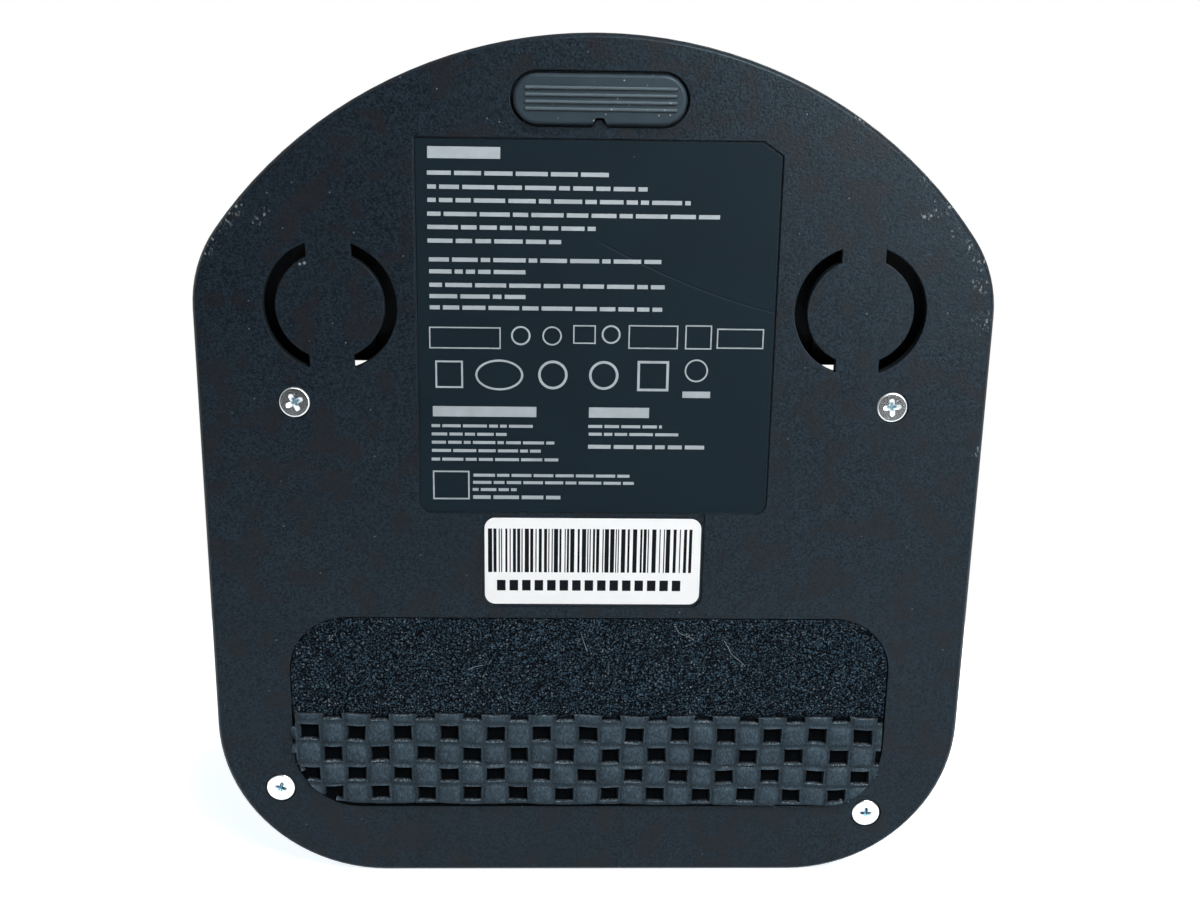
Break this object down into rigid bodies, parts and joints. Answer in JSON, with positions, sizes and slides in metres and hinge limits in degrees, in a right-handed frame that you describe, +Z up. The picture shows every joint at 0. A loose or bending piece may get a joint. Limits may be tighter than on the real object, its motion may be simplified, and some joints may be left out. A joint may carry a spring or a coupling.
{
  "type": "robot vacuum charging dock",
  "caption": "Low charging dock for a robot vacuum: a ramped platform with sprung charging contacts, a hollow tower with a signal window and a mains inlet, and a flat screwed base.",
  "frame": {"origin": "on the floor, under the middle of the dock's outline", "axes": "+Z up, -Y towards the curved front edge where the robot drives on, +Y towards the straight rear edge, +X towards the side with the mains inlet"},
  "size_m": [0.156, 0.1752, 0.092],
  "materials": {
    "base_plastic": "fine spark texture",
    "housing_plastic": "fine spark texture",
    "foot_rubber": "matt, ribbed",
    "mat_rubber": "matt",
    "foam": "rough foam",
    "label_film": "satin film",
    "sticker": "coated paper",
    "zinc_steel": "zinc plated",
    "contact_plate": "nickel plated",
    "carrier_plastic": "moulded",
    "spring_steel": "plain",
    "strip_metal": "tinned",
    "ballast_steel": "rolled",
    "board": "lacquered",
    "inlet_plastic": "moulded",
    "pin_metal": "plated",
    "block_plastic": "moulded",
    "chip_plastic": "moulded",
    "can": "sleeved",
    "ferrite": "sintered",
    "winding": "taped",
    "sink_metal": "plain",
    "connector": "moulded",
    "ribbon": "flat cable",
    "diode": "clear resin",
    "pane": "smoked, polished"
  },
  "bodies": {
    "dock": {"base_cover": "base_plastic", "top_housing": "housing_plastic", "front_foot": "foot_rubber", "rating_label": "label_film", "serial_label": "sticker", "foam_pad": "foam", "grip_mat": "mat_rubber", "front_screws": "zinc_steel", "rear_screws": "zinc_steel", "ballast_plate": "ballast_steel", "power_board": "board", "inlet_socket": "inlet_plastic", "inlet_pins": "pin_metal", "fuse": "chip_plastic", "line_capacitor": "block_plastic", "line_choke": "block_plastic", "bridge_rectifier": "chip_plastic", "bulk_capacitor": "can", "transformer_core": "ferrite", "transformer_winding": "winding", "heat_sink": "sink_metal", "power_switch": "chip_plastic", "output_capacitor": "can", "signal_header": "connector", "signal_ribbon": "ribbon", "signal_board": "board", "guide_emitters": "diode", "status_lamp": "diode", "front_window": "pane", "left_contact_spring": "spring_steel", "left_contact_strip": "strip_metal", "right_contact_spring": "spring_steel", "right_contact_strip": "strip_metal"},
    "left_contact": {"left_contact": "contact_plate", "left_contact_carrier": "carrier_plastic"},
    "right_contact": {"right_contact": "contact_plate", "right_contact_carrier": "carrier_plastic"}
  },
  "joints": [
    {"name": "left_contact_slide", "type": "slide", "parent": "dock", "child": "left_contact", "axis": [0, 0, 1], "range_m": [-0.0028, 0], "stiffness_N_per_m": 400, "springref_m": 0.004, "deforming": ["left_contact_spring"]},
    {"name": "right_contact_slide", "type": "slide", "parent": "dock", "child": "right_contact", "axis": [0, 0, 1], "range_m": [-0.0028, 0], "stiffness_N_per_m": 400, "springref_m": 0.004, "deforming": ["right_contact_spring"]}
  ]
}
